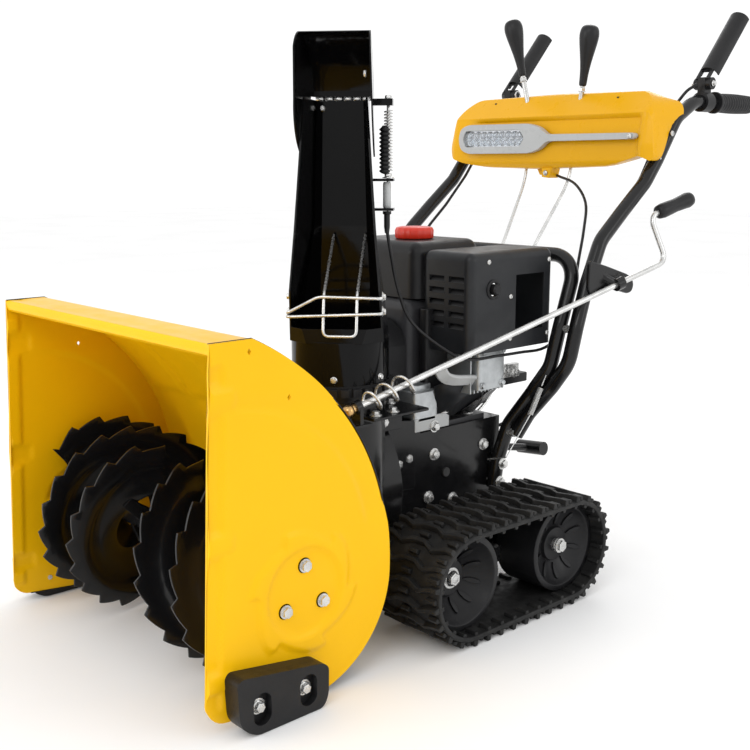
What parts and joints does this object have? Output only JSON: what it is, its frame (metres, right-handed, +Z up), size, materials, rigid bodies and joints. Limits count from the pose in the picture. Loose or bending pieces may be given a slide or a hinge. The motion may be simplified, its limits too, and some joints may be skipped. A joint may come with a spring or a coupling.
{
  "type": "two stage snowblower",
  "caption": "Walk-behind tracked snowblower: open auger housing with side plates, impeller drum, turning chute, engine, rubber tracks, bent tube handles and a lamp console.",
  "frame": {"origin": "centre of the machine's box on the ground", "axes": "+Z up, +Y towards the operator behind the machine, +X to the machine's left as seen from in front"},
  "size_m": [0.66, 1.3196, 0.9953],
  "materials": {
    "yellow_paint": "gloss",
    "black_paint": "gloss",
    "grey_paint": "satin",
    "steel": "zinc plated",
    "alloy": "as cast",
    "iron": "machined",
    "belt_rubber": "matt",
    "grip_rubber": "matt",
    "black_plastic": "moulded",
    "gloss_black": "gloss",
    "grey_cover": "satin",
    "light_grey": "satin",
    "yellow_plastic": "gloss",
    "red_plastic": "satin",
    "clear_lens": "clear"
  },
  "bodies": {
    "machine": {"auger_bearings": "iron", "auger_gearbox": "iron", "belt_cover": "black_plastic", "chassis_case": "black_paint", "console_shell": "yellow_plastic", "control_cables": "black_plastic", "crank_brackets": "black_paint", "cylinder_head": "alloy", "deflector_cable": "black_plastic", "drive_belts": "belt_rubber", "engine_block": "grey_paint", "frame_bolts": "steel", "fuel_tank": "black_plastic", "hand_grips": "grip_rubber", "heater_cover": "grey_cover", "housing_shell": "yellow_paint", "impeller_drum": "black_paint", "lamp_housing": "light_grey", "lamp_lens": "clear_lens", "lever_mounts": "black_plastic", "lower_handle": "black_paint", "muffler": "grey_paint", "recoil_housing": "grey_cover", "scraper_bar": "black_paint", "shift_rods": "steel", "side_plate_left": "yellow_paint", "side_plate_right": "yellow_paint", "skid_shoes": "black_plastic", "upper_handle_left": "black_paint", "upper_handle_right": "black_paint"},
    "auger": {"auger_left": "black_paint", "auger_right": "black_paint", "auger_shaft": "steel"},
    "impeller": {"impeller": "black_paint", "impeller_shaft": "steel"},
    "crankshaft": {"crankshaft": "iron"},
    "friction_disc": {"friction_disc": "iron"},
    "friction_wheel": {"friction_wheel": "iron"},
    "axle": {"drive_axle": "steel", "drive_wheels": "black_plastic"},
    "tracks": {"track_frames": "black_paint", "track_belt_left": "belt_rubber", "track_belt_right": "belt_rubber"},
    "idler_left": {"idler_wheel_left": "black_plastic"},
    "idler_right": {"idler_wheel_right": "black_plastic"},
    "chute": {"chute_base": "black_plastic", "chute_body": "gloss_black", "wire_guard": "steel", "deflector_rod": "steel"},
    "deflector": {"chute_deflector": "gloss_black"},
    "crank": {"crank_rod": "steel"},
    "crank_knob": {"crank_knob": "black_plastic"},
    "clutch_left": {"clutch_lever_left": "black_plastic"},
    "clutch_right": {"clutch_lever_right": "black_plastic"},
    "speed_lever": {"speed_lever": "black_plastic"},
    "deflector_lever": {"deflector_lever": "black_plastic"},
    "fuel_cap": {"fuel_cap": "red_plastic"},
    "choke": {"choke_knob": "black_plastic"},
    "recoil_handle": {"recoil_handle": "black_plastic"},
    "pedal": {"tilt_pedal": "black_paint"}
  },
  "joints": [
    {"name": "auger_turn", "type": "hinge", "parent": "machine", "child": "auger", "pos_m": [0, -0.5022, 0.157], "axis": [1, 0, 0], "continuous": true},
    {"name": "impeller_turn", "type": "hinge", "parent": "machine", "child": "impeller", "pos_m": [0, -0.2392, 0.197], "axis": [0, 1, 0], "continuous": true},
    {"name": "crankshaft_turn", "type": "hinge", "parent": "machine", "child": "crankshaft", "pos_m": [0, -0.1392, 0.398], "axis": [0, 1, 0], "continuous": true},
    {"name": "friction_disc_turn", "type": "hinge", "parent": "machine", "child": "friction_disc", "pos_m": [0, -0.1392, 0.197], "axis": [0, 1, 0], "continuous": true},
    {"name": "friction_wheel_turn", "type": "hinge", "parent": "machine", "child": "friction_wheel", "pos_m": [0, -0.0547, 0.197], "axis": [1, 0, 0], "continuous": true},
    {"name": "axle_turn", "type": "hinge", "parent": "machine", "child": "axle", "pos_m": [0, 0.0308, 0.0925], "axis": [1, 0, 0], "continuous": true},
    {"name": "track_tilt", "type": "hinge", "parent": "machine", "child": "tracks", "pos_m": [0, 0.0308, 0.0925], "axis": [1, 0, 0], "range_deg": [0, 7]},
    {"name": "idler_left_turn", "type": "hinge", "parent": "tracks", "child": "idler_left", "pos_m": [0.262, -0.2062, 0.0925], "axis": [1, 0, 0], "continuous": true},
    {"name": "idler_right_turn", "type": "hinge", "parent": "tracks", "child": "idler_right", "pos_m": [-0.262, -0.2062, 0.0925], "axis": [1, 0, 0], "continuous": true},
    {"name": "chute_turn", "type": "hinge", "parent": "machine", "child": "chute", "pos_m": [0.09, -0.2692, 0.38], "axis": [0, 0, 1], "range_deg": [-137, 53], "deforming": ["deflector_cable"]},
    {"name": "deflector_tilt", "type": "hinge", "parent": "chute", "child": "deflector", "pos_m": [0.05086, -0.22573, 0.814], "axis": [0.7431, 0.6691, 0], "range_deg": [0, 45], "deforming": ["deflector_rod"]},
    {"name": "crank_turn", "type": "hinge", "parent": "machine", "child": "crank", "pos_m": [0.19, -0.3352, 0.362], "axis": [0.1312, 0.9556, 0.2638], "range_deg": [-1000, 2500]},
    {"name": "crank_knob_turn", "type": "hinge", "parent": "crank", "child": "crank_knob", "pos_m": [0.2554, 0.3094, 0.6244], "axis": [0.1376, 0.9557, 0.2601], "continuous": true},
    {"name": "clutch_left_squeeze", "type": "hinge", "parent": "machine", "child": "clutch_left", "pos_m": [0.235, 0.4968, 0.86], "axis": [1, 0, 0], "range_deg": [-40, 0], "stiffness_Nm_per_rad": 1.2, "springref_deg": 14.32},
    {"name": "clutch_right_squeeze", "type": "hinge", "parent": "machine", "child": "clutch_right", "pos_m": [-0.235, 0.4968, 0.86], "axis": [1, 0, 0], "range_deg": [-40, 0], "stiffness_Nm_per_rad": 1.2, "springref_deg": 14.32},
    {"name": "speed_shift", "type": "hinge", "parent": "machine", "child": "speed_lever", "pos_m": [0.052, 0.3588, 0.79], "axis": [1, 0, 0], "range_deg": [-20, 20]},
    {"name": "deflector_shift", "type": "hinge", "parent": "machine", "child": "deflector_lever", "pos_m": [-0.059, 0.3588, 0.79], "axis": [1, 0, 0], "range_deg": [-20, 20]},
    {"name": "fuel_cap_turn", "type": "hinge", "parent": "machine", "child": "fuel_cap", "pos_m": [0, -0.0222, 0.6], "axis": [0, 0, 1], "continuous": true},
    {"name": "choke_pull", "type": "slide", "parent": "machine", "child": "choke", "axis": [1, 0, 0], "range_m": [0, 0.012]},
    {"name": "recoil_pull", "type": "slide", "parent": "machine", "child": "recoil_handle", "axis": [0, 1, 0], "range_m": [0, 0.5], "stiffness_N_per_m": 8, "springref_m": -0.5},
    {"name": "pedal_press", "type": "hinge", "parent": "machine", "child": "pedal", "pos_m": [0.04, 0.0998, 0.2], "axis": [1, 0, 0], "range_deg": [-8, 0], "stiffness_Nm_per_rad": 8, "springref_deg": 8.59}
  ],
  "couplings": [
    {"joint": "auger_turn", "follows": "impeller_turn", "ratio": 0.1},
    {"joint": "friction_wheel_turn", "follows": "axle_turn", "ratio": 2.143},
    {"joint": "crank_turn", "follows": "chute_turn", "ratio": -17.9}
  ]
}
